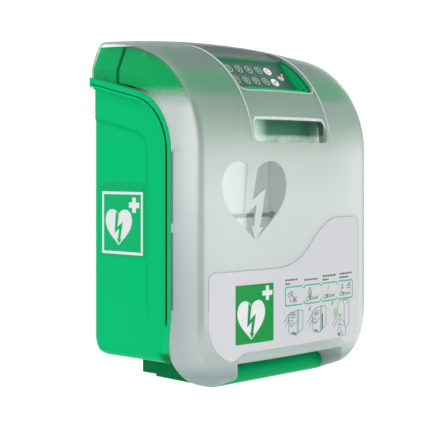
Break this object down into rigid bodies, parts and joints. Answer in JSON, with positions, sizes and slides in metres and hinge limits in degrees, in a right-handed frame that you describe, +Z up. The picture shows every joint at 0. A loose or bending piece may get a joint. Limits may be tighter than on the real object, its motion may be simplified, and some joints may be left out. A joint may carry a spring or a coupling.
{
  "type": "defibrillator wall cabinet",
  "caption": "Wall cabinet for a defibrillator: green shell, hinged clear and frosted hood with a grip bar, keypad console, liner, strap and signs.",
  "frame": {"origin": "centre of the four wall holes, on the wall plane at the back of the shell", "axes": "+X to the right seen from the front, +Y towards the wall, +Z up"},
  "size_m": [0.37, 0.2013, 0.4626],
  "materials": {
    "green_abs": "satin moulded plastic",
    "cover_clear": "clear and frosted moulded plastic",
    "label_white": "printed film",
    "sign_film": "printed film",
    "liner_white": "fine texture",
    "screw_steel": "zinc plated",
    "pin_steel": "ground",
    "solenoid_steel": "plated",
    "seal_foam": "foam",
    "strap_web": "woven",
    "stud_black": "moulded",
    "heater_alu": "satin",
    "sensor_black": "moulded",
    "gland_grey": "moulded",
    "keypad_film": "printed film",
    "key_grey": "printed key",
    "key_white": "printed key",
    "board_green": "solder mask",
    "terminal_green": "moulded",
    "siren_black": "moulded",
    "cell_wrap": "shrink wrap",
    "light_lens": "diffusing",
    "bush_grey": "acetal",
    "magnet_nickel": "nickel plated"
  },
  "bodies": {
    "cabinet": {"base_shell": "green_abs", "battery_cells": "cell_wrap", "battery_holder": "sensor_black", "cable_gland": "gland_grey", "chin_screws": "screw_steel", "console_base": "green_abs", "console_housing": "green_abs", "console_screws": "screw_steel", "device_shelf": "liner_white", "heater_plate": "heater_alu", "hinge_chin": "green_abs", "hinge_pins": "pin_steel", "inner_liner": "liner_white", "keypad_bezel": "keypad_film", "keypad_board": "board_green", "light_lens": "light_lens", "liner_screws": "screw_steel", "lock_solenoid": "solenoid_steel", "main_board": "board_green", "reed_sensor": "sensor_black", "seal_strips": "seal_foam", "side_sign_left": "sign_film", "side_sign_right": "sign_film", "siren": "siren_black", "strap": "strap_web", "strap_buckle": "stud_black", "strap_studs": "stud_black", "terminal_block": "terminal_green", "thermostat": "sensor_black"},
    "cover": {"cover_shell": "cover_clear", "cover_label": "label_white", "hinge_bushes": "bush_grey", "lock_striker": "pin_steel", "striker_screws": "screw_steel", "cover_magnet": "magnet_nickel"},
    "bolt": {"lock_bolt": "pin_steel"},
    "button_1": {"key_1": "key_grey"},
    "button_2": {"key_2": "key_grey"},
    "button_3": {"key_3": "key_grey"},
    "button_4": {"key_4": "key_grey"},
    "button_5": {"key_5": "key_grey"},
    "button_clear": {"key_clear": "key_white"},
    "button_6": {"key_6": "key_grey"},
    "button_7": {"key_7": "key_grey"},
    "button_8": {"key_8": "key_grey"},
    "button_9": {"key_9": "key_grey"},
    "button_0": {"key_0": "key_grey"},
    "button_enter": {"key_enter": "key_white"}
  },
  "joints": [
    {"name": "cover_hinge", "type": "hinge", "parent": "cabinet", "child": "cover", "pos_m": [0, -0.151, -0.223], "axis": [1, 0, 0], "range_deg": [0, 165]},
    {"name": "bolt_slide", "type": "slide", "parent": "cabinet", "child": "bolt", "axis": [0, 0, -1], "range_m": [0, 0.009], "stiffness_N_per_m": 60, "springref_m": -0.004},
    {"name": "press_1", "type": "slide", "parent": "cabinet", "child": "button_1", "axis": [0, 0.7524, -0.6587], "range_m": [0, 0.0006], "stiffness_N_per_m": 300},
    {"name": "press_2", "type": "slide", "parent": "cabinet", "child": "button_2", "axis": [0, 0.7524, -0.6587], "range_m": [0, 0.0006], "stiffness_N_per_m": 300},
    {"name": "press_3", "type": "slide", "parent": "cabinet", "child": "button_3", "axis": [0, 0.7524, -0.6587], "range_m": [0, 0.0006], "stiffness_N_per_m": 300},
    {"name": "press_4", "type": "slide", "parent": "cabinet", "child": "button_4", "axis": [0, 0.7524, -0.6587], "range_m": [0, 0.0006], "stiffness_N_per_m": 300},
    {"name": "press_5", "type": "slide", "parent": "cabinet", "child": "button_5", "axis": [0, 0.7524, -0.6587], "range_m": [0, 0.0006], "stiffness_N_per_m": 300},
    {"name": "press_clear", "type": "slide", "parent": "cabinet", "child": "button_clear", "axis": [0, 0.7524, -0.6587], "range_m": [0, 0.0006], "stiffness_N_per_m": 300},
    {"name": "press_6", "type": "slide", "parent": "cabinet", "child": "button_6", "axis": [0, 0.7524, -0.6587], "range_m": [0, 0.0006], "stiffness_N_per_m": 300},
    {"name": "press_7", "type": "slide", "parent": "cabinet", "child": "button_7", "axis": [0, 0.7524, -0.6587], "range_m": [0, 0.0006], "stiffness_N_per_m": 300},
    {"name": "press_8", "type": "slide", "parent": "cabinet", "child": "button_8", "axis": [0, 0.7524, -0.6587], "range_m": [0, 0.0006], "stiffness_N_per_m": 300},
    {"name": "press_9", "type": "slide", "parent": "cabinet", "child": "button_9", "axis": [0, 0.7524, -0.6587], "range_m": [0, 0.0006], "stiffness_N_per_m": 300},
    {"name": "press_0", "type": "slide", "parent": "cabinet", "child": "button_0", "axis": [0, 0.7524, -0.6587], "range_m": [0, 0.0006], "stiffness_N_per_m": 300},
    {"name": "press_enter", "type": "slide", "parent": "cabinet", "child": "button_enter", "axis": [0, 0.7524, -0.6587], "range_m": [0, 0.0006], "stiffness_N_per_m": 300}
  ]
}
